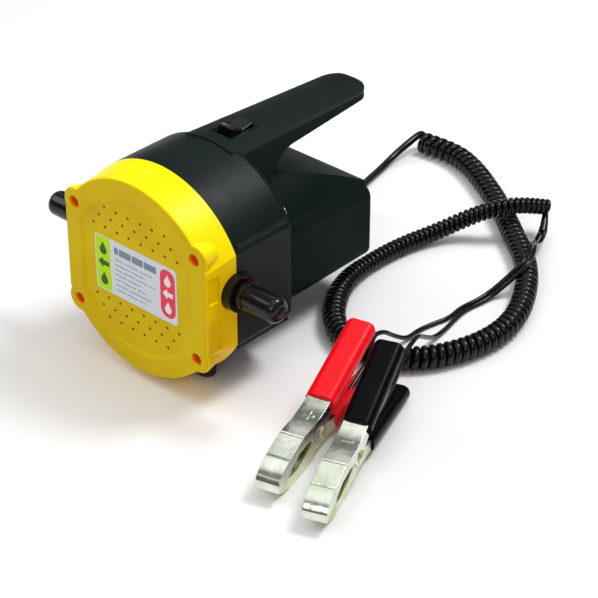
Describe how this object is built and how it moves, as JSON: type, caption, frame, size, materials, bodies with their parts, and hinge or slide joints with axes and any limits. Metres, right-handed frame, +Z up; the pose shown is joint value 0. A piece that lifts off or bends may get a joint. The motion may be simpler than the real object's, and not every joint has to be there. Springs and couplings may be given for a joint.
{
  "type": "fluid transfer pump",
  "caption": "Hand-held electric gear pump for oil or diesel: drum-shaped body, side hose ports, rear motor box, carry handle with rocker switch, curly cord and battery clamps.",
  "frame": {"origin": "on the floor under the pump's mid-plane, midway between the front face and the handle's rear end", "axes": "+X to the pump's right side as seen from its front (the port axis), +Y from the front face back along the handle and the motor, +Z up"},
  "size_m": [0.2427, 0.3356, 0.1223],
  "materials": {
    "cover_yellow": "bright glossy moulding",
    "housing_black": "satin charcoal moulding",
    "gloss_black": "glossy black moulding",
    "label": "printed laminate",
    "rubber_black": "soft black rubber",
    "zinc_steel": "pale yellow zinc plating",
    "chrome_steel": "bright plating",
    "cast_alu": "as cast",
    "steel": "turned steel",
    "can_steel": "dark plated steel",
    "ferrite": "ground ferrite",
    "copper": "enamelled copper",
    "brass": "sintered bronze",
    "carbon": "carbon brush",
    "phenolic": "brown laminate",
    "gasket": "sheet gasket",
    "vinyl_red": "dipped vinyl, glossy",
    "vinyl_black": "dipped vinyl, glossy",
    "cord_jacket": "smooth jacket"
  },
  "bodies": {
    "pump": {"front_cover": "cover_yellow", "label": "label", "cover_screws": "zinc_steel", "front_housing": "housing_black", "rear_housing": "housing_black", "housing_screws": "steel", "handle_screws": "steel", "rubber_feet": "rubber_black", "pump_plate": "cast_alu", "pump_gasket": "gasket", "pump_body": "cast_alu", "pump_screws": "steel", "idler_axle": "steel", "shaft_seal": "rubber_black", "port_right": "gloss_black", "port_left": "gloss_black", "motor_bell": "can_steel", "motor_can": "can_steel", "motor_magnets": "ferrite", "brush_plate": "phenolic", "brushes": "carbon", "brush_springs": "steel", "front_bush": "brass", "rear_bush": "brass", "switch_frame": "gloss_black", "switch_pin": "steel", "switch_terminals": "brass", "cable_gland": "rubber_black", "cord_lead_in": "cord_jacket", "cord_coil": "cord_jacket", "cord_coil_end": "cord_jacket", "lead_black": "cord_jacket", "lead_red": "cord_jacket", "clamp_red_lower_jaw": "zinc_steel", "clamp_red_lower_sleeve": "vinyl_red", "clamp_red_rivet": "zinc_steel", "clamp_red_spring": "steel", "clamp_black_lower_jaw": "zinc_steel", "clamp_black_lower_sleeve": "vinyl_black", "clamp_black_rivet": "zinc_steel", "clamp_black_spring": "steel"},
    "rotor": {"motor_shaft": "steel", "armature_core": "steel", "armature_windings": "copper", "commutator": "copper", "drive_gear": "steel"},
    "idler": {"driven_gear": "steel"},
    "rocker": {"switch_rocker": "gloss_black"},
    "cap_left": {"port_cap_left": "gloss_black"},
    "cap_right": {"port_cap_right": "gloss_black"},
    "red_jaw": {"clamp_red_upper_jaw": "chrome_steel", "clamp_red_upper_sleeve": "vinyl_red"},
    "black_jaw": {"clamp_black_upper_jaw": "chrome_steel", "clamp_black_upper_sleeve": "vinyl_black"}
  },
  "joints": [
    {"name": "motor_spin", "type": "hinge", "parent": "pump", "child": "rotor", "pos_m": [0, 0, 0.0541], "axis": [0, 1, 0], "continuous": true},
    {"name": "idler_spin", "type": "hinge", "parent": "pump", "child": "idler", "pos_m": [0, 0, 0.0785], "axis": [0, 1, 0], "continuous": true},
    {"name": "switch_rock", "type": "hinge", "parent": "pump", "child": "rocker", "pos_m": [0, -0.0083, 0.1143], "axis": [1, 0, 0], "range_deg": [0, 18]},
    {"name": "cap_left_pull", "type": "slide", "parent": "pump", "child": "cap_left", "axis": [-1, 0, 0], "range_m": [0, 0.035]},
    {"name": "cap_right_pull", "type": "slide", "parent": "pump", "child": "cap_right", "axis": [1, 0, 0], "range_m": [0, 0.035]},
    {"name": "clamp_red_open", "type": "hinge", "parent": "pump", "child": "red_jaw", "pos_m": [0.11, -0.0714, 0.01438], "axis": [-0.9668, -0.2555, 0], "range_deg": [0, 18], "stiffness_Nm_per_rad": 1.6, "springref_deg": -10},
    {"name": "clamp_black_open", "type": "hinge", "parent": "pump", "child": "black_jaw", "pos_m": [0.1381, -0.0747, 0.01438], "axis": [-0.9373, -0.3486, 0], "range_deg": [0, 18], "stiffness_Nm_per_rad": 1.6, "springref_deg": -10}
  ],
  "couplings": [
    {"joint": "idler_spin", "follows": "motor_spin", "ratio": -1}
  ]
}
